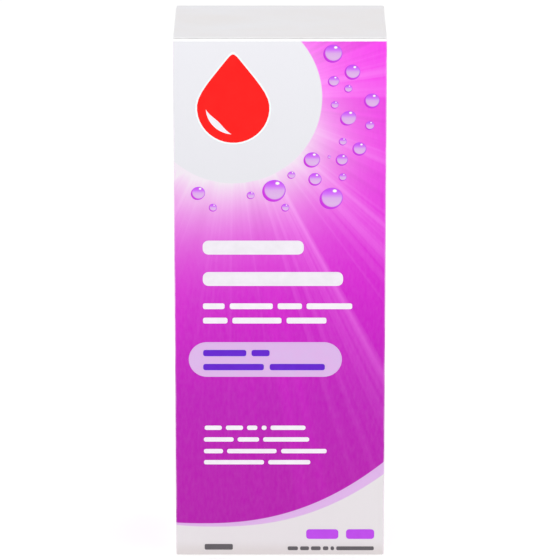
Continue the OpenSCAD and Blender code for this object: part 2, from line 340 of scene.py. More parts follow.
def crease_painted_highlight():
    """A crease bead, coloured near white as a painted highlight where the rounded fold catches the light;
    fine cracks in its bump.
    """
    s = Shader("carton_crease_highlight")
    crack = s.noise(700.0, 4.0, 0.6)
    s.bump(crack, 0.15, GRAIN_DEPTH)
    colour = s.mix(s.remap(crack, 0.35, 0.65), srgb(246, 246, 248), srgb(253, 253, 254))
    s.set(Base_Color=colour, Roughness=0.7, Specular_IOR_Level=0.25)
    return s.mat


def ink(name, colour, other=None):
    """Printing ink: a slight mottle over the paper's grain."""
    s = Shader(name)
    mottle = s.noise(300.0, 4.0, 0.6)
    other = other or tinted(colour, 1.06, 0.004)
    paper_grain(s, 0.08)
    s.set(Base_Color=s.mix(s.remap(mottle, 0.3, 0.7), colour, other), Roughness=0.45,
          Specular_IOR_Level=0.18)
    return s.mat


def droplet_ink():
    """A printed water drop: u and v run from -1 to 1 across it."""
    s = Shader("ink_droplets")
    u, v, _ = s.xyz(s.uv("drop"))
    # the bright body sits up and to the right inside a darker rim
    bx = s.math("SUBTRACT", u, 0.07)
    by = s.math("SUBTRACT", v, 0.12)
    inside = s.remap(s.distance(bx, by), 0.90, 0.80)
    shade = s.ramp(s.remap(v, -0.85, 0.95), [
        (0.0, srgb(219, 166, 230)), (0.25, srgb(219, 178, 228)), (0.49, srgb(217, 166, 230)),
        (0.68, srgb(208, 112, 242)), (0.85, srgb(198, 74, 241)), (1.0, srgb(200, 68, 240)),
    ])
    rim = s.ramp(s.remap(s.math("ADD", u, v), -1.3, 1.3), [
        (0.0, srgb(202, 24, 218)), (0.5, srgb(200, 52, 230)), (1.0, srgb(188, 62, 240)),
    ])
    colour = s.mix(inside, rim, shade)
    hx = s.math("SUBTRACT", u, 0.30)
    hy = s.math("MULTIPLY", s.math("SUBTRACT", v, 0.66), 1.35)
    colour = s.mix(s.remap(s.distance(hx, hy), 0.21, 0.12), colour, srgb(255, 253, 240))
    s.set(Base_Color=colour, Roughness=0.35, Specular_IOR_Level=0.4)
    paper_grain(s, 0.06)
    return s.mat


def plastic(name, colour, rough, bump, scale, **more):
    """Moulded plastic: a faint pebble and slow colour drift."""
    s = Shader(name)
    drift = s.noise(35.0, 2.0, 0.5)
    pebble = s.noise(scale, 3.0, 0.5)
    s.bump(pebble, bump, 0.00005)
    s.set(Base_Color=s.mix(s.remap(drift, 0.3, 0.7), colour, tinted(colour, 0.95)),
          Roughness=s.remap(pebble, 0.3, 0.7, rough * 0.9, rough * 1.15), **more)
    return s.mat


def label_print():
    """The bottle's label: the carton's gradient, white across the top, on glossy film."""
    s = Shader("label_print")
    lo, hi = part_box("front_label")
    tone = s.ramp(s.remap(s.xyz(s.object())[2], lo.z, hi.z), [
        (0.0, srgb(178, 34, 170)), (0.45, srgb(206, 52, 203)), (0.72, srgb(238, 66, 230)),
        (0.86, srgb(246, 190, 240)), (1.0, srgb(240, 238, 243)),
    ])
    ripple = s.noise(60.0, 3.0, 0.5, vector=s.stretched((1.0, 1.0, 0.25)))
    tone = s.mix(s.remap(ripple, 0.35, 0.75, 0.0, 0.12), tone, srgb(255, 160, 248))
    s.bump(s.noise(260.0, 2.0, 0.5), 0.05, 0.00006)
    s.set(Base_Color=tone, Roughness=s.remap(ripple, 0.3, 0.7, 0.24, 0.32), Specular_IOR_Level=0.5,
          Coat_Weight=0.25, Coat_Roughness=0.15)
    return s.mat


def water():
    """Clear liquid with a barely moving surface."""
    s = Shader("saline_water")
    wave = s.noise(40.0, 2.0, 0.5)
    s.bump(wave, 0.05, 0.0005)
    s.set(Base_Color=s.mix(s.remap(wave, 0.3, 0.7), (0.93, 0.98, 1.0, 1), (0.97, 1.0, 1.0, 1)),
          Roughness=0.03, IOR=1.335, Transmission_Weight=1.0)
    return s.mat


def paper(name, colour):
    """Thin uncoated paper with a fine fleck."""
    s = Shader(name)
    fleck = s.noise(500.0, 5.0, 0.65)
    s.bump(fleck, 0.2, 0.00003)
    s.set(Base_Color=s.mix(s.remap(fleck, 0.35, 0.65), tinted(colour, 0.93), colour), Roughness=0.78,
          Specular_IOR_Level=0.2)
    return s.mat


M = {
    "print": board_print(),
    "white": board_coated(),
    "inside": board_inside(),
    "edge": board_edge(),
    "crease": crease_painted_highlight(),
    "red": ink("ink_red", RED, srgb(255, 22, 18)),
    "text": ink("ink_white", srgb(238, 234, 240)),
    "title": ink("ink_title", srgb(233, 229, 236)),
    "pill": ink("ink_pill", LILAC, srgb(216, 182, 230)),
    "violet": ink("ink_violet", VIOLET),
    "volume": ink("ink_volume", srgb(186, 72, 228)),
    "grey": ink("ink_grey", srgb(96, 92, 96)),
    "halo": ink("ink_halo", srgb(240, 248, 250)),
    "field": ink("ink_field", srgb(232, 229, 236), srgb(236, 234, 240)),
    "droplet": droplet_ink(),
    "bottle": plastic("bottle_hdpe", srgb(228, 232, 237), 0.36, 0.04, 900.0,
                      Subsurface_Weight=0.25, Subsurface_Scale=0.003),
    "cap": plastic("cap_polypropylene", srgb(226, 228, 234), 0.26, 0.012, 2600.0),
    "ring": plastic("ring_polypropylene", srgb(224, 227, 233), 0.28, 0.012, 2600.0),
    "nozzle": plastic("nozzle_ldpe", srgb(226, 233, 236), 0.34, 0.012, 2600.0, Transmission_Weight=0.15),
    "liner": plastic("liner_foam", srgb(222, 228, 232), 0.7, 0.3, 1800.0),
    "glue": plastic("glue_dry", srgb(228, 218, 190), 0.5, 0.2, 300.0),
    "label": label_print(),
    "water": water(),
    "leaflet": paper("leaflet_paper", srgb(243, 242, 238)),
}

# -------------------------------------------------------- mesh helpers


SHARP_ANGLE = math.radians(35.0)
ROD_SIDES = 16


class Builder:
    """Gathers closed shells, in millimetres, and makes one object of them."""

    def __init__(self):
        self.verts, self.faces, self.slots, self.uvs = [], [], [], []

    def add(self, verts, faces, slots, uvs=None):
        """Adds one closed shell, turned so that its faces look outwards."""
        at = [Vector(v) for v in verts]
        triangles = [(f[0], f[k], f[k + 1]) for f in faces for k in range(1, len(f) - 1)]
        if sum(at[i].dot(at[j].cross(at[k])) for i, j, k in triangles) < 0:
            faces = [f[::-1] for f in faces]
        n = len(self.verts)
        self.verts += [tuple(v) for v in verts]
        self.faces += [tuple(i + n for i in f) for f in faces]
        self.slots += slots if isinstance(slots, list) else [slots] * len(faces)
        self.uvs += [tuple(c) for c in uvs] if uvs else [(v[0] * MM, v[2] * MM) for v in verts]

    def make(self, name, materials, uv_name="print"):
        mesh = bpy.data.meshes.new(name)
        mesh.from_pydata([tuple(c * MM for c in v) for v in self.verts], [], self.faces)
        for m in materials:
            mesh.materials.append(M[m])
        mesh.polygons.foreach_set("material_index", self.slots)
        layer = mesh.uv_layers.new(name=uv_name)
        for loop in mesh.loops:
            layer.data[loop.index].uv = self.uvs[loop.vertex_index]
        mesh.shade_smooth()
        mesh.set_sharp_from_angle(angle=SHARP_ANGLE)
        mesh.update()
        obj = bpy.data.objects.new(name, mesh)
        bpy.context.scene.collection.objects.link(obj)
        return obj


def arc(cx, cy, r, a0, a1, steps):
    """Points of an arc from angle a0 to a1, in degrees."""
    angles = [math.radians(a0 + (a1 - a0) * i / steps) for i in range(steps + 1)]
    return [(cx + r * math.cos(a), cy + r * math.sin(a)) for a in angles]


def rounded(x0, x1, y0, y1, r, steps=5):
    """A rounded rectangle, anticlockwise."""
    r = min(r, (x1 - x0) / 2 - 1e-4, (y1 - y0) / 2 - 1e-4)
    return (arc(x1 - r, y0 + r, r, -90, 0, steps) + arc(x1 - r, y1 - r, r, 0, 90, steps)
            + arc(x0 + r, y1 - r, r, 90, 180, steps) + arc(x0 + r, y0 + r, r, 180, 270, steps))


def prism(b, outline, place, low, high, slots=(0, 0, 0), uvs=None):
    """A prism over an outline. place(p, q, h) gives a point; slots are for its top, bottom and sides."""
    n = len(outline)
    verts = [place(p, q, high) for p, q in outline] + [place(p, q, low) for p, q in outline]
    faces = [tuple(range(n)), tuple(range(2 * n - 1, n - 1, -1))]
    faces += [(i, i + n, (i + 1) % n + n, (i + 1) % n) for i in range(n)]
    b.add(verts, faces, [slots[0], slots[1]] + [slots[2]] * n, (uvs + uvs) if uvs else None)


def rod(b, start, end, radius, slot):
    """A round bar from start to end, closed at both ends."""
    a, z = Vector(start), Vector(end)
    axis = (z - a).normalized()
    side = axis.orthogonal().normalized()
    other = axis.cross(side)
    n = ROD_SIDES
    turns = [2 * math.pi * i / n for i in range(n)]
    ring = [side * math.cos(t) + other * math.sin(t) for t in turns]
    verts = [a + d * radius for d in ring] + [z + d * radius for d in ring]
    faces = [(i, (i + 1) % n, (i + 1) % n + n, i + n) for i in range(n)]
    faces += [tuple(range(n - 1, -1, -1)), tuple(range(n, 2 * n))]
    b.add(verts, faces, slot)


def loft(b, rings, slot):
    """A skin through rings of points, closed by its first and last ring."""
    n = len(rings[0])
    verts = [p for ring in rings for p in ring]
    faces = []
    for k in range(len(rings) - 1):
        for i in range(n):
            j = (i + 1) % n
            faces.append((k * n + i, k * n + j, (k + 1) * n + j, (k + 1) * n + i))
    faces += [tuple(range(n - 1, -1, -1)), tuple(range(len(verts) - n, len(verts)))]
    b.add(verts, faces, slot)


# -------------------------------------------------------- the sleeve

CORNER_R = 0.35        # middle of the board round an upright crease
CORNER_POINTS = 7
# the stretches of the path that are flat walls, counted along it
RIGHT_WALL, FRONT_WALL, LEFT_WALL = (n * CORNER_POINTS - 1 for n in (2, 3, 4))
SEAM_GAP = box_mm("seam_glue")[1][0] - box_mm("seam_glue")[0][0]
FLAP_X = -HW + T + SEAM_GAP + HT    # middle of the glue flap's board
FREE_EDGE_SHY = 0.1    # how far the left side's free edge stays short of the back's outer face
CREASE_SHY = 0.3       # how far a crease's rod stays inside the carton's width
DUST_CREASE_SHY = 0.4  # how far a dust flap's crease stays clear of the front and back
GLUE_FLAP_TAPER = 5.0


def sleeve_path():
    """Middle line of the board, clockwise from above, as points with their outward normals.

    It runs from the glue flap's crease along the back, the right side, the front and the left side."""
    x, y = HW - HT, HD - HT
    path = []

    def corner(cx, cy, first):
        for i in range(CORNER_POINTS):
            a = math.radians(first - 90 * i / (CORNER_POINTS - 1))
            nx, ny = math.cos(a), math.sin(a)
            path.append((cx + CORNER_R * nx, cy + CORNER_R * ny, nx, ny))

    corner(FLAP_X + CORNER_R, y - CORNER_R, 180)
    corner(x - CORNER_R, y - CORNER_R, 90)
    corner(x - CORNER_R, -y + CORNER_R, 0)
    corner(-x + CORNER_R, -y + CORNER_R, -90)
    path.append((-x, HD - FREE_EDGE_SHY, -1, 0))
    return path


def sleeve_heights(k):
    """Lowest and highest point of the board between path points k and k + 1."""
    if k in (RIGHT_WALL, LEFT_WALL):
        return SIDE_BOTTOM + HT, SIDE_TOP - HT
    if k < RIGHT_WALL:
        return BACK_BOTTOM, joint_mm("top_closure_hinge")[2]
    return joint_mm("bottom_closure_hinge")[2], FRONT_TOP


def add_walls(b):
    """The four walls as one folded board with its corners, its faces inside and out, and its cut edges."""
    path = sleeve_path()
    count = len(path) - 1
    ranges = [sleeve_heights(k) for k in range(count)]
    levels = sorted({z for r in ranges for z in r})
    length = [0.0]
    for p, q in zip(path, path[1:]):
        length.append(length[-1] + math.hypot(q[0] - p[0], q[1] - p[1]))
    middle = (length[FRONT_WALL] + length[FRONT_WALL + 1]) / 2
    index, verts, uvs, faces, slots = {}, [], [], [], []

    def at(k, level, side):
        key = (k, level, side)
        if key not in index:
            x, y, nx, ny = path[k]
            index[key] = len(verts)
            verts.append((x + nx * HT * side, y + ny * HT * side, levels[level]))
            uvs.append(((middle - length[k]) * MM, levels[level] * MM))
        return index[key]

    def face(slot, *corners):
        faces.append(tuple(at(*c) for c in corners))
        slots.append(slot)

    spans = [(levels.index(lo), levels.index(hi)) for lo, hi in ranges]
    for k, (lo, hi) in enumerate(spans):
        for i in range(lo, hi):
            face(0, (k + 1, i, 1), (k, i, 1), (k, i + 1, 1), (k + 1, i + 1, 1))
            face(1, (k, i, -1), (k + 1, i, -1), (k + 1, i + 1, -1), (k, i + 1, -1))
        face(2, (k, hi, 1), (k, hi, -1), (k + 1, hi, -1), (k + 1, hi, 1))
        face(2, (k + 1, lo, 1), (k + 1, lo, -1), (k, lo, -1), (k, lo, 1))
    for k in range(count + 1):
        before = set(range(*spans[k - 1])) if k > 0 else set()
        after = set(range(*spans[k])) if k < count else set()
        for i in sorted(after - before):
            face(2, (k, i, 1), (k, i, -1), (k, i + 1, -1), (k, i + 1, 1))
        for i in sorted(before - after):
            face(2, (k, i, -1), (k, i, 1), (k, i + 1, 1), (k, i + 1, -1))
    b.add(verts, faces, slots, uvs)


def add_creases(b):
    """A round bead on each hinge line, which the flap's own bead turns in."""
    for end in ("top", "bottom"):
        _, y, z = joint_mm(f"{end}_closure_hinge")
        rod(b, (-HW + CREASE_SHY, y, z), (HW - CREASE_SHY, y, z), HT, 3)
    reach = HD - T - DUST_CREASE_SHY
    for end in ("top", "bottom"):
        for side in ("left", "right"):
            x, _, z = joint_mm(f"{end}_dust_{side}_hinge")
            rod(b, (x, -reach, z), (x, reach, z), HT, 3)


def add_glue_flap(b):
    """The flap that is folded in behind the left side, with tapered ends."""
    lo, hi = box_mm("glue_flap")
    far, near = lo[1], HD - HT - CORNER_R
    low, high = lo[2], hi[2]
    outline = [(near, low), (near, high), (far, high - GLUE_FLAP_TAPER), (far, low + GLUE_FLAP_TAPER)]
    prism(b, outline, lambda p, q, h: (FLAP_X - h, p, q), -HT, HT, (3, 1, 2))


def build_sleeve():
    b = Builder()
    add_walls(b)
    add_creases(b)
    add_glue_flap(b)
    obj = b.make("carton_sleeve", ["print", "inside", "edge", "crease"])
    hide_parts("front_panel", "back_panel", "left_side_panel", "right_side_panel", "glue_flap")
    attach(obj, "carton")


build_sleeve()

# -------------------------------------------------------- flaps


FLAP_ROD_R = HT * 0.96  # a little inside the sleeve's own bead, so that the two share no surface
CLOSURE_NOTCH = 0.9     # the corners cut off beside a closure's crease
TONGUE_LENGTH, TONGUE_CORNER, TONGUE_LEAN = 11.0, 7.0, 7.5
DUST_BACK_GAP, DUST_FRONT_GAP = 1.0, 2.4      # from a dust flap's crease ends to the walls
DUST_BACK_TAPER, DUST_FRONT_TAPER = 10.0, 3.0  # how much narrower the flap is at its free edge
DUST_CORNER = 2.5


def flap(name, node, body, outline, origin, along, away, crease_half, crease_r=FLAP_ROD_R, far=None):
    """A board flap with a bead on its crease.

    outline is in (along, away) from its crease at origin, and its outer face looks along x away.
    far is (distance, start, end) of the short beads beside the next flap's crease."""
    o, a, w = Vector(origin), Vector(along), Vector(away)
    normal = a.cross(w)
    area = sum(p[0] * q[1] - q[0] * p[1] for p, q in zip(outline, outline[1:] + outline[:1]))
    b = Builder()
    prism(b, outline if area > 0 else outline[::-1], lambda p, q, h: o + a * p + w * q + normal * h,
          -HT, HT, (0, 1, 2))
    rod(b, o - a * crease_half, o + a * crease_half, crease_r, 3)
    if far:
        distance, start, end = far
        for sign in (-1, 1):
            rod(b, o + w * distance + a * sign * start, o + w * distance + a * sign * end, HT, 3)
    obj = b.make(name, ["white", "inside", "edge", "crease"])
    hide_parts(node)
    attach(obj, body)


def closure(end, up):
    hinge, next_hinge = joint_mm(f"{end}_closure_hinge"), joint_mm(f"{end}_tongue_hinge")
    half = box_mm(f"{end}_closure_panel")[1][0]
    tongue_half = box_mm(f"{end}_tuck_tongue")[1][0]
    depth = abs(hinge[1] - next_hinge[1])
    cut = CLOSURE_NOTCH
    outline = [(-half, cut), (-half + cut, 0), (half - cut, 0), (half, cut)]
    outline += [(half, depth), (-half, depth)]
    flap(f"{end}_closure", f"{end}_closure_panel", f"{end}_closure", outline, (0, hinge[1], hinge[2]),
         (-up, 0, 0), (0, -up, 0), half - cut, far=(depth, tongue_half + 0.02, half))


def tongue(end, up):
    _, y, z = joint_mm(f"{end}_tongue_hinge")
    half = box_mm(f"{end}_tuck_tongue")[1][0]
    lean, r = math.radians(TONGUE_LEAN), TONGUE_CORNER
    outline = [(-half, 0)] + arc(-half + r, TONGUE_LENGTH - r, r, 180, 90, 12)
    outline += arc(half - r, TONGUE_LENGTH - r, r, 90, 0, 12) + [(half, 0)]
    flap(f"{end}_tongue", f"{end}_tuck_tongue", f"{end}_tongue", outline, (0, y, z),
         (-up, 0, 0), (0, up * math.sin(lean), -up * math.cos(lean)), half, HT)


def dust_flap(end, up, side, sign):
    node = f"{end}_dust_flap_{side}"
    x, _, z = joint_mm(f"{end}_dust_{side}_hinge")
    lo, hi = box_mm(node)
    length = abs((hi[0] if sign < 0 else lo[0]) - x)
    back, front = HD - T - DUST_BACK_GAP, HD - T - DUST_FRONT_GAP
    r = DUST_CORNER
    free = arc(length - r, back - DUST_BACK_TAPER - r, r, 60, 0, 6)
    free += arc(length - r, -front + DUST_FRONT_TAPER + r, r, 0, -80, 8)
    outline = [(back, 0.0)] + [(p, q) for q, p in free] + [(-front, 0.0)]
    flap(f"{end}_dust_flap.{side}", node, f"{end}_dust_{side}", [(sign * p, q) for p, q in outline],
         (x, 0, z), (0, up * sign, 0), (-sign, 0, 0), min(back, front))


for end, up in (("top", 1), ("bottom", -1)):
    closure(end, up)
    tongue(end, up)
    dust_flap(end, up, "left", -1)
    dust_flap(end, up, "right", 1)

# -------------------------------------------------------- print on the front

INK_T = 0.05            # how far ink stands proud of the board
INK_ROOT = 0.03         # how far it reaches into the board
OVER_INK = INK_T + 0.03  # ink printed over other ink


def on_front(p, q, h):
    return (p, -HD - h, q)


def ink_piece(name, material, outlines, place=on_front, high=INK_T):
    """Thin solids of ink on the carton or on a thing in it, one for each outline."""
    b = Builder()
    for outline in outlines:
        prism(b, outline, place, -INK_ROOT, high)
    obj = b.make(name, [material])
    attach(obj, "carton")


OUTLINE_STEPS = 40


def ellipse(cx, cz, r, squeeze, turn):
    """An ellipse whose long half is r, turned by an angle."""
    cos, sin = math.cos(turn), math.sin(turn)
    pts = []
    for i in range(OUTLINE_STEPS):
        a = 2 * math.pi * i / OUTLINE_STEPS
        p, q = r * math.cos(a), r * squeeze * math.sin(a)
        pts.append((cx + p * cos - q * sin, cz + p * sin + q * cos))
    return pts


def drop_shape(cx, cz, r, tip):
    """A water drop: a round belly that draws up to a point, tip above its middle."""
    pts = []
    for i in range(OUTLINE_STEPS):
        a = 2 * math.pi * (i + 0.5) / OUTLINE_STEPS + math.pi / 2
        p, q = math.cos(a), math.sin(a)
        lift = max(0.0, q) ** 2.4
        pts.append((cx + r * p * (1 - 0.62 * lift), cz + r * q + (tip - r) * lift))
    return pts


def bars(rows, radius):
    """Rounded bars that stand for words: each row is (low, high, [(start, end), ...])."""
    return [rounded(a, c, low, high, radius) for low, high, words in rows for a, c in words]


DROP_Z, DROP_R, DROP_TIP, DROP_RIM = 162.6, 12.4, 18.8, 0.6
SHINE_R, SHINE_W, SHINE_START, SHINE_END = 9.4, 2.3, 184, 266


def crescent(steps=12):
    """A streak of light inside the drop's lower left."""
    outer = arc(EMBLEM_X, DROP_Z, SHINE_R, SHINE_START, SHINE_END, 16)
    inner = []
    for k in range(1, steps):
        a = math.radians(SHINE_END - (SHINE_END - SHINE_START) * k / steps)
        r = SHINE_R - SHINE_W * math.sin(math.pi * k / steps)
        inner.append((EMBLEM_X + r * math.cos(a), DROP_Z + r * math.sin(a)))
    return outer + inner


halo_shape = drop_shape(EMBLEM_X, DROP_Z, DROP_R + DROP_RIM, DROP_TIP + 1.5 * DROP_RIM)
ink_piece("emblem_halo", "halo", [halo_shape])
ink_piece("emblem_drop", "red", [drop_shape(EMBLEM_X, DROP_Z, DROP_R, DROP_TIP)], high=OVER_INK)
ink_piece("emblem_shine", "text", [crescent()], high=OVER_INK + 0.03)

# the printed water drops: place across, height and radius of each
DROPLETS = [
    (18.0, 181.6, 3.3), (24.7, 175.1, 2.7), (18.3, 171.9, 2.0), (23.3, 169.3, 1.4), (31.4, 165.0, 2.7),
    (18.7, 163.6, 1.4), (23.3, 158.9, 2.9), (30.7, 156.3, 1.6), (21.5, 150.6, 1.4), (27.2, 148.0, 2.4),
    (10.9, 144.1, 2.9), (16.9, 145.2, 0.6), (21.2, 144.1, 2.1), (3.9, 138.7, 1.4), (12.0, 137.2, 2.3),
    (21.5, 138.0, 1.4), (-28.2, 132.2, 2.5), (-23.1, 127.1, 1.4), (-10.1, 131.5, 1.4), (-2.1, 133.1, 4.1),
    (1.8, 127.1, 1.4), (17.6, 130.4, 4.1),
]
FLAT_DROPLET = 6  # the one that is plainly oval


def build_droplets():
    b = Builder()
    for n, (cx, cz, r) in enumerate(DROPLETS):
        squeeze, turn = (0.84, 0.6) if n == FLAT_DROPLET else (0.95 + 0.04 * math.sin(n * 2.3), 0.5)
        outline = ellipse(cx, cz, r, squeeze, turn)
        uvs = [((p - cx) / r, (q - cz) / r) for p, q in outline]
        prism(b, outline, on_front, -INK_ROOT, INK_T, uvs=uvs)
    obj = b.make("printed_droplets", ["droplet"], uv_name="drop")
    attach(obj, "carton")


build_droplets()

ink_piece("print_title", "title", bars([
    (110.3, 115.3, [(-26.7, 8.2)]), (99.0, 104.0, [(-26.7, 21.8)])], 2.0))
ink_piece("print_lines", "text", bars([
    (90.6, 92.7, [(-26.7, -19.2), (-17.4, -2.5), (-0.8, 7.6), (9.2, 25.0)]),
    (85.4, 87.5, [(-26.7, -18.2), (-16.5, 0.5), (2.3, 16.1)]),
    (46.5, 48.1, [(-26.3, -20.3), (-18.9, -12.9), (-11.5, -7.9), (-6.4, -4.7), (-3.3, 8.9)]),
    (42.2, 43.8, [(-26.6, -16.2), (-14.8, -7.3), (-5.9, 10.2)]),
    (37.9, 39.5, [(-26.6, -19.9), (-18.5, -1.2), (0.4, 16.3)]),
    (33.8, 35.4, [(-26.6, -5.6), (-4.1, 10.6)])], 0.7))
ink_piece("print_pill", "pill", [rounded(-31.7, 21.5, 66.0, 78.6, 6.29, 14)])
ink_piece("print_pill_lines", "violet", bars([
    (73.5, 75.8, [(-26.7, -11.7), (-9.9, -3.6)]),
    (68.4, 70.7, [(-26.7, -5.6), (-3.6, 15.6)])], 0.8), high=OVER_INK)
ink_piece("print_volume", "volume", bars([(6.1, 9.7, [(9.2, 20.5), (23.2, 33.1)])], 1.1))
ink_piece("print_small", "grey", bars([
    (2.1, 4.2, [(-26.5, -16.6)]),
    (1.9, 3.3, [(2.7, 6.3), (7.1, 10.2), (10.9, 14.3), (15.1, 17.0), (17.8, 19.0), (19.8, 33.0)])], 0.5))

# -------------------------------------------------------- print on the sides and the back


def on_right(p, q, h):
    return (HW + h, p, q)


def on_left(p, q, h):
    return (-HW - h, -p, q)


def on_back(p, q, h):
    return (-p, HD + h, q)


def paragraph(x0, x1, top, rows, pitch, size, seed):
    """Rows of word bars with a ragged right edge; the same seed gives the same words."""
    out = []
    state, states = seed, 2 ** 31
    for row in range(rows):
        words, x = [], x0
        last = row == rows - 1
        end = x1 - (x1 - x0) * (0.45 if last else 0.0)
        while True:
            state = (state * 1103515245 + 12345) % states
            width = 2.6 + 7.5 * (state / states)
            if x + width > end:
                break
            words.append((x, x + width))
            x += width + 1.0
        out.append((top - row * pitch - size, top - row * pitch, words))
    return out


def column(x0, x1, pitch, size, blocks):
    """Paragraphs one under another. Each block is (top, rows, seed)."""
    return [row for top, rows, seed in blocks for row in paragraph(x0, x1, top, rows, pitch, size, seed)]


SIDE, SIDE_MARGIN = HD - 4.5, 2.5
for name, place, seed in (("right", on_right, 7), ("left", on_left, 19)):
    start = -SIDE + SIDE_MARGIN
    ink_piece(f"side_{name}_panel", "field", [rounded(-SIDE, SIDE, 34.0, 112.0, 2.5)], place)
    lines = column(start, -start, 3.4, 1.5, [(103.0, 5, seed), (82.0, 7, seed + 3), (54.5, 5, seed + 5)])
    ink_piece(f"side_{name}_lines", "violet", bars(lines, 0.55), place, high=OVER_INK)
    heads = [(105.0, 108.2, [(start, 4.0)]), (84.4, 86.6, [(start, -2.0)]), (56.8, 59.0, [(start, 1.0)])]
    ink_piece(f"side_{name}_heads", "volume", bars(heads, 0.8), place, high=OVER_INK)

BACK, BACK_MARGIN = HW - 5.0, 4
start = -BACK + BACK_MARGIN
ink_piece("back_panel_field", "field", [rounded(-BACK, BACK, 44.0, 150.0, 3.0)], on_back)
ink_piece("back_heads", "volume", bars([
    (140.5, 145.2, [(start, 6.0)]), (112.6, 115.2, [(start, -8.0)]),
    (84.6, 87.2, [(start, -2.0)]), (60.2, 62.4, [(start, -12.0)])], 0.9), on_back, high=OVER_INK)
ink_piece("back_lines", "grey", bars(column(start, -start, 3.7, 1.6, [
    (136.0, 5, 31), (109.5, 5, 37), (81.5, 5, 41), (57.5, 3, 43)]), 0.6), on_back, high=OVER_INK)
ink_piece("back_drop", "red", [drop_shape(26.0, 164.5, 5.4, 8.4)], on_back)
ink_piece("back_title", "title", bars([
    (165.8, 169.6, [(-27.5, 2.0)]), (159.4, 163.2, [(-27.5, 12.0)])], 1.2), on_back)

# -------------------------------------------------------- the bottle

BOTTLE_LO, BOTTLE_HI = box_mm("bottle")
RIM_Z, BASE_Z = BOTTLE_HI[2], BOTTLE_LO[2]
HALF_W, HALF_D = BOTTLE_HI[0], BOTTLE_HI[1]
WALL = 0.9
SQUARE = 3.4                          # how square the oval is: 2 is an ellipse
FOOT, BASE_HOLLOW = 4.0, 1.5          # radius round the foot, depth of the hollow under the base
NECK_R, BORE_R = 10.8, 9.2
NECK_Z = RIM_Z - 16.5
SHOULDER_Z = NECK_Z - 21.0
SHOULDER_SWEEP = math.radians(78)
MOULD_RIDGE = 0.12                    # the parting line of the blow mould
BEAD_Z = RIM_Z - 13.6                 # the bead that holds the tamper ring
THREAD_R, THREAD_TURNS, THREAD_PITCH = 11.9, 1.25, 3.175
RING = 128


def oval(z, a, b, n, ridge=0.0):
    """Points round a squared oval. ridge pushes out the two of them on the mould's parting line."""
    pts = []
    for i in range(RING):
        t = 2 * math.pi * i / RING
        c, s = math.cos(t), math.sin(t)
        seam = ridge if i in (0, RING // 2) else 0.0
        x = (a + seam) * math.copysign(abs(c) ** (2 / n), c)
        y = b * math.copysign(abs(s) ** (2 / n), s)
        pts.append((x, y, z))
    return pts


def bottle_side(inset, end_r, ridge):
    """Rings from the foot up the straight wall and over the shoulder to a round neck of end_r."""
    rings = []
    r = FOOT - inset
    for i in range(9):
        t = math.radians(90 - 90 * i / 8)
        out = r * math.cos(t) - FOOT
        rings.append(oval(BASE_Z + inset + r * (1 - math.sin(t)), HALF_W + out, HALF_D + out, SQUARE,
                          ridge if i > 3 else 0.0))
    wide, deep = HALF_W - inset - end_r, HALF_D - inset - end_r
    for i in range(25):
        t = SHOULDER_SWEEP * i / 24
        k = (math.cos(t) - math.cos(SHOULDER_SWEEP)) / (1 - math.cos(SHOULDER_SWEEP))
        z = SHOULDER_Z + (NECK_Z - SHOULDER_Z - inset) * math.sin(t) / math.sin(SHOULDER_SWEEP)
        rings.append(oval(z, end_r + wide * k, end_r + deep * k, 2 + (SQUARE - 2) * k, ridge * k))
    return rings


def base_rings(inset):
    """Rings from the middle of the hollow base out to where the foot begins."""
    top = BASE_Z + BASE_HOLLOW + inset
    rings = [oval(top, 2.0, 1.4, 2.4), oval(top, HALF_W - 4 * FOOT, HALF_D - 3 * FOOT, SQUARE)]
    for i in range(1, 5):
        k = i / 5
        ease = k * k * (3 - 2 * k)
        rings.append(oval(BASE_Z + inset + BASE_HOLLOW * (1 - ease), HALF_W - FOOT * (4 - 2.4 * k),
                          HALF_D - FOOT * (3 - 1.4 * k), SQUARE))
    rings.append(oval(BASE_Z + inset, HALF_W - 1.6 * FOOT, HALF_D - 1.6 * FOOT, SQUARE))
    return rings


def neck_ring(z, r):
    return oval(z, r, r, 2)


def build_bottle():
    b = Builder()
    neck = [
        (BEAD_Z - 0.75, NECK_R), (BEAD_Z - 0.6, 11.6), (BEAD_Z - 0.35, 11.9), (BEAD_Z, 11.9),
        (BEAD_Z + 0.2, 11.7), (BEAD_Z + 0.6, NECK_R),
        (RIM_Z - 0.45, NECK_R), (RIM_Z - 0.15, NECK_R - 0.12), (RIM_Z, NECK_R - 0.4),
    ]
    outside = base_rings(0) + bottle_side(0, NECK_R, MOULD_RIDGE) + [neck_ring(z, r) for z, r in neck]
    inside = base_rings(WALL) + bottle_side(WALL, BORE_R, 0.0) + [neck_ring(RIM_Z, BORE_R)]
    loft(b, outside + inside[::-1], 0)
    add_thread(b, NECK_R - 0.4, THREAD_R, RIM_Z - 2.4)
    obj = b.make("bottle_shell", ["bottle"])
    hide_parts("bottle")
    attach(obj, "bottle")


def add_thread(b, back, crest, top, per_turn=64):
    """A right-hand helical ridge from radius back to crest that fades out at both ends."""
    rings = []
    steps = int(THREAD_TURNS * per_turn)
    for i in range(steps + 1):
        t = math.radians(360 * i / per_turn + 1.4)
        z = top - THREAD_PITCH * (THREAD_TURNS - i / per_turn)
        full = min(1.0, (min(i, steps - i) + 0.5) / (per_turn / 8))
        r = back + (crest - back) * full
        flank = r - 0.12 * full
        section = [(back, -0.75), (flank, -0.46), (r, -0.32), (r, 0.32), (flank, 0.46), (back, 0.75)]
        rings.append([(p * math.cos(t), p * math.sin(t), z + q) for p, q in section])
    loft(b, rings, 0)


build_bottle()


LABEL_Z = box_mm("front_label")[0][2]
LABEL_GAP, LABEL_T, LABEL_CORNER, LABEL_COLUMNS = 0.03, 0.12, 4.0, 48
STRIP_W = 1.5


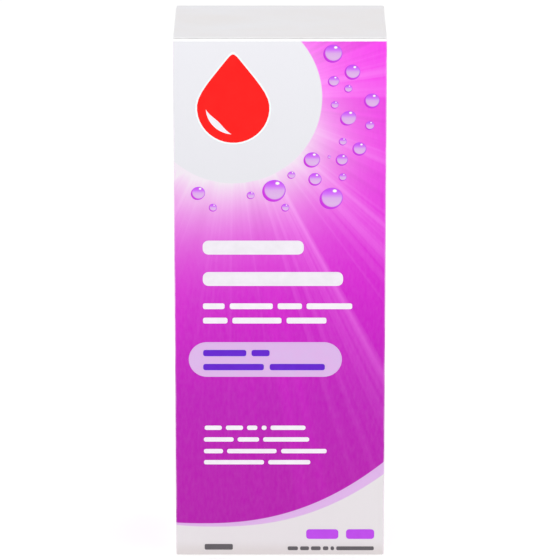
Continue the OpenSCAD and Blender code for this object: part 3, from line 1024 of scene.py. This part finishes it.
def build_label(name, node, turn):
    """A thin film on the bottle's wall. turn is -1 on the front and 1 on the back.

    Returns place(p, q, h), which gives the point at p across, q up and h over the film."""
    lo, hi = box_mm(node)
    half_w, low, high = hi[0], lo[2], hi[2]
    r, last = LABEL_CORNER, 4 * LABEL_COLUMNS

    def on_wall(p, q, h):
        y = (HALF_D + h) * (1 - min(1.0, abs(p) / (HALF_W + h)) ** SQUARE) ** (1 / SQUARE)
        return (-turn * p, turn * y, q)

    verts, faces = [], []
    for i in range(LABEL_COLUMNS + 1):
        p = -half_w + 2 * half_w * i / LABEL_COLUMNS
        edge = max(0.0, abs(p) - (half_w - r))
        cut = r - math.sqrt(max(0.0, r * r - edge * edge))
        for h in (LABEL_GAP, LABEL_GAP + LABEL_T):
            verts += [on_wall(p, low + cut, h), on_wall(p, high - cut, h)]
    for a in range(0, last, 4):
        c = a + 4
        faces += [(a + 2, a + 3, c + 3, c + 2), (a, c, c + 1, a + 1)]
        faces += [(a, a + 2, c + 2, c), (a + 1, c + 1, c + 3, a + 3)]
    faces += [(0, 1, 3, 2), (last, last + 2, last + 3, last + 1)]
    b = Builder()
    b.add(verts, faces, 0)
    obj = b.make(name, ["label"])
    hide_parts(node)
    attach(obj, "bottle")
    return lambda p, q, h: on_wall(p, q, LABEL_GAP + LABEL_T + h)


def wrap_ink(name, material, outlines, place, high=0.04):
    """Ink on a curved label: each outline is cut into narrow strips, so that it follows the wall."""
    b = Builder()
    for outline in outlines:
        start, end = min(p for p, _ in outline), max(p for p, _ in outline)
        strips = max(2, int((end - start) / STRIP_W))
        rings = []
        for i in range(strips + 1):
            p = start + (end - start) * min(max(i / strips, 0.004), 0.996)
            cuts = []
            for (p0, q0), (p1, q1) in zip(outline, outline[1:] + outline[:1]):
                if (p0 - p) * (p1 - p) <= 0 and p0 != p1:
                    cuts.append(q0 + (q1 - q0) * (p - p0) / (p1 - p0))
            q0, q1 = min(cuts), max(cuts)
            corners = ((q0, -0.02), (q1, -0.02), (q1, high), (q0, high))
            rings.append([place(p, q, h) for q, h in corners])
        loft(b, rings, 0)
    obj = b.make(name, [material])
    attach(obj, "bottle")


def label_bars(rows, radius):
    """Word bars whose heights are measured from the label's lower edge."""
    return bars([(LABEL_Z + low, LABEL_Z + high, words) for low, high, words in rows], radius)


place = build_label("label_front", "front_label", -1)
wrap_ink("label_drop", "red", [drop_shape(-13.0, LABEL_Z + 69.5, 6.6, 10.2)], place)
wrap_ink("label_title", "title", label_bars([
    (50.0, 54.4, [(-20.0, 6.0)]), (42.4, 46.8, [(-20.0, 16.0)])], 1.2), place)
wrap_ink("label_lines", "text", bars(
    paragraph(-20, 20, LABEL_Z + 37.0, 2, 3.4, 1.6, 51)
    + paragraph(-20, 16, LABEL_Z + 17.0, 3, 3.2, 1.4, 53), 0.6), place)
wrap_ink("label_pill", "pill", [rounded(-22.5, 16.0, LABEL_Z + 21.0, LABEL_Z + 28.0, 3.4, 10)], place)
wrap_ink("label_pill_lines", "violet", label_bars([
    (23.5, 25.5, [(-19.0, -8.0), (-6.8, 9.0)])], 0.7), place, 0.07)
place = build_label("label_back", "back_label", 1)
wrap_ink("label_back_field", "field", [rounded(-23.5, 23.5, LABEL_Z + 4.0, LABEL_Z + 72.0, 2.5)], place)
wrap_ink("label_back_lines", "grey", bars(column(-21, 21, 3.2, 1.3, [
    (LABEL_Z + 66.0, 6, 61), (LABEL_Z + 42.0, 6, 67), (LABEL_Z + 19.0, 4, 71)]), 0.5), place, 0.07)

# -------------------------------------------------------- the leaflet


LEAFLET_LAYERS, LEAFLET_SHEET = 6, 0.11


def fold_line(lo, hi, pitch):
    """Middle line of the paper, seen from above, to and fro with round folds."""
    half = hi[0] - pitch / 2 - LEAFLET_SHEET / 2
    bend = [math.pi * i / 6 for i in range(1, 6)]
    line = []
    for k in range(LEAFLET_LAYERS):
        y = lo[1] + LEAFLET_SHEET / 2 + pitch * k
        sign = 1 if k % 2 == 0 else -1
        # the layers are not quite of one length
        start, end = half - 0.7 * (k % 3), half - 0.4 * ((k + 1) % 2)
        line += [(-sign * start, y), (sign * end, y)]
        if k < LEAFLET_LAYERS - 1:
            line += [
                (sign * (end + pitch / 2 * math.sin(t)), y + pitch / 2 * (1 - math.cos(t)))
                for t in bend
            ]
    return line


def build_leaflet():
    """Thin paper, folded into a flat packet, with print on its outer face."""
    lo, hi = box_mm("leaflet")
    line = fold_line(lo, hi, (hi[1] - lo[1] - LEAFLET_SHEET) / (LEAFLET_LAYERS - 1))
    rings = []
    for i, (x, y) in enumerate(line):
        x0, y0 = line[max(0, i - 1)]
        x1, y1 = line[min(len(line) - 1, i + 1)]
        scale = LEAFLET_SHEET / 2 / (math.hypot(x1 - x0, y1 - y0) or 1.0)
        nx, ny = -(y1 - y0) * scale, (x1 - x0) * scale
        left, right = (x - nx, y - ny), (x + nx, y + ny)
        rings.append([(*left, lo[2]), (*left, hi[2]), (*right, hi[2]), (*right, lo[2])])
    b = Builder()
    loft(b, rings, 0)
    obj = b.make("leaflet_packet", ["leaflet"])
    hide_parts("leaflet")
    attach(obj, "carton")
    top = hi[2] - 8
    lines = paragraph(-25, -1.5, top, 28, 3.6, 1.2, 81) + paragraph(1.5, 25, top, 28, 3.6, 1.2, 83)
    ink_piece("leaflet_lines", "grey", bars(lines, 0.4), lambda p, q, h: (p, lo[1] - h, q),
              high=0.02)


build_leaflet()

# -------------------------------------------------------- CAD nodes that stay as they are

for node, material in (("seam_glue", "glue"), ("saline_solution", "water"), ("nozzle_insert", "nozzle"),
                       ("tamper_ring", "ring"), ("cap_liner", "liner"), ("screw_cap", "cap")):
    obj = frame["nodes"][node]
    obj.data.materials.clear()
    obj.data.materials.append(M[material])

# -------------------------------------------------------- stage, lights and camera

# metres
FLOOR_R, SWEEP_R, WALL_RISE, FLOOR_DROP = 10.0, 2.0, 1.0, 0.0003


def floor_paint():
    s = Shader("floor_white")
    pale = (0.75, 0.75, 0.75, 1.0)
    patches = s.remap(s.noise(3.0, 2.0, 0.5), 0.3, 0.7)
    s.set(Base_Color=s.mix(patches, pale, tinted(pale, 0.99)), Roughness=0.9,
          Emission_Color=(1.0, 1.0, 1.0, 1.0), Emission_Strength=0.42)
    return s.mat


def build_floor():
    """A wide round floor that sweeps up into a low wall far behind every camera."""
    steps, turns = 8, 64
    lift = [math.pi / 2 * i / steps for i in range(steps + 1)]
    profile = [(FLOOR_R + SWEEP_R * math.sin(t), SWEEP_R * (1 - math.cos(t))) for t in lift]
    profile.append((FLOOR_R + SWEEP_R, SWEEP_R + WALL_RISE))
    spin = [2 * math.pi * j / turns for j in range(turns)]
    verts = [(0.0, 0.0, -FLOOR_DROP)]
    verts += [(r * math.cos(a), r * math.sin(a), z - FLOOR_DROP) for r, z in profile for a in spin]
    pairs = [(j, (j + 1) % turns) for j in range(turns)]
    faces = [(0, 1 + j, 1 + k) for j, k in pairs]
    for low in range(1, len(verts) - turns, turns):
        high = low + turns
        faces += [(low + j, high + j, high + k, low + k) for j, k in pairs]
    mesh = bpy.data.meshes.new("floor")
    mesh.from_pydata(verts, [], faces)
    mesh.shade_smooth()
    mesh.materials.append(floor_paint())
    obj = bpy.data.objects.new("floor", mesh)
    bpy.context.scene.collection.objects.link(obj)


build_floor()


def area_light(name, place, target, size, power):
    data = bpy.data.lights.new(name, "AREA")
    data.shape = "RECTANGLE"
    data.size, data.size_y = size
    data.energy = power
    obj = bpy.data.objects.new(name, data)
    obj.location = place
    obj.rotation_euler = (Vector(target) - Vector(place)).to_track_quat("-Z", "Y").to_euler()
    bpy.context.scene.collection.objects.link(obj)


CENTRE = (0, 0, H * MM / 2)
area_light("key", (-0.9, -1.6, 1.1), CENTRE, (1.2, 1.2), 6.2)
area_light("fill", (1.4, -1.2, 0.7), CENTRE, (1.2, 1.2), 3.0)
area_light("top", (0.0, 0.1, 1.6), CENTRE, (1.6, 1.6), 7.2)

world = bpy.data.worlds.new("studio")
world.use_nodes = True
background = world.node_tree.nodes["Background"]
background.inputs["Color"].default_value = (1.0, 1.0, 1.0, 1.0)
background.inputs["Strength"].default_value = 0.58
bpy.context.scene.world = world
bpy.context.scene.view_settings.view_transform = "Standard"

CAM_DISTANCE, CAM_ELEVATION, CAM_TARGET_Z = 1.6, 16.65, 0.0938
CAM_SENSOR, CAM_LENS_RATIO = 36.0, 8.1326  # the lens is that many sensor widths long
camera_data = bpy.data.cameras.new("camera")
camera_data.sensor_width = CAM_SENSOR
camera_data.lens = CAM_SENSOR * CAM_LENS_RATIO
camera_data.clip_end = 50.0
camera = bpy.data.objects.new("camera", camera_data)
elevation = math.radians(CAM_ELEVATION)
back = Vector((0.0, -math.cos(elevation), math.sin(elevation)))
camera.location = Vector((0.0, 0.0, CAM_TARGET_Z)) + back * CAM_DISTANCE
camera.rotation_euler = (-back).to_track_quat("-Z", "Y").to_euler()
bpy.context.scene.collection.objects.link(camera)
bpy.context.scene.camera = camera
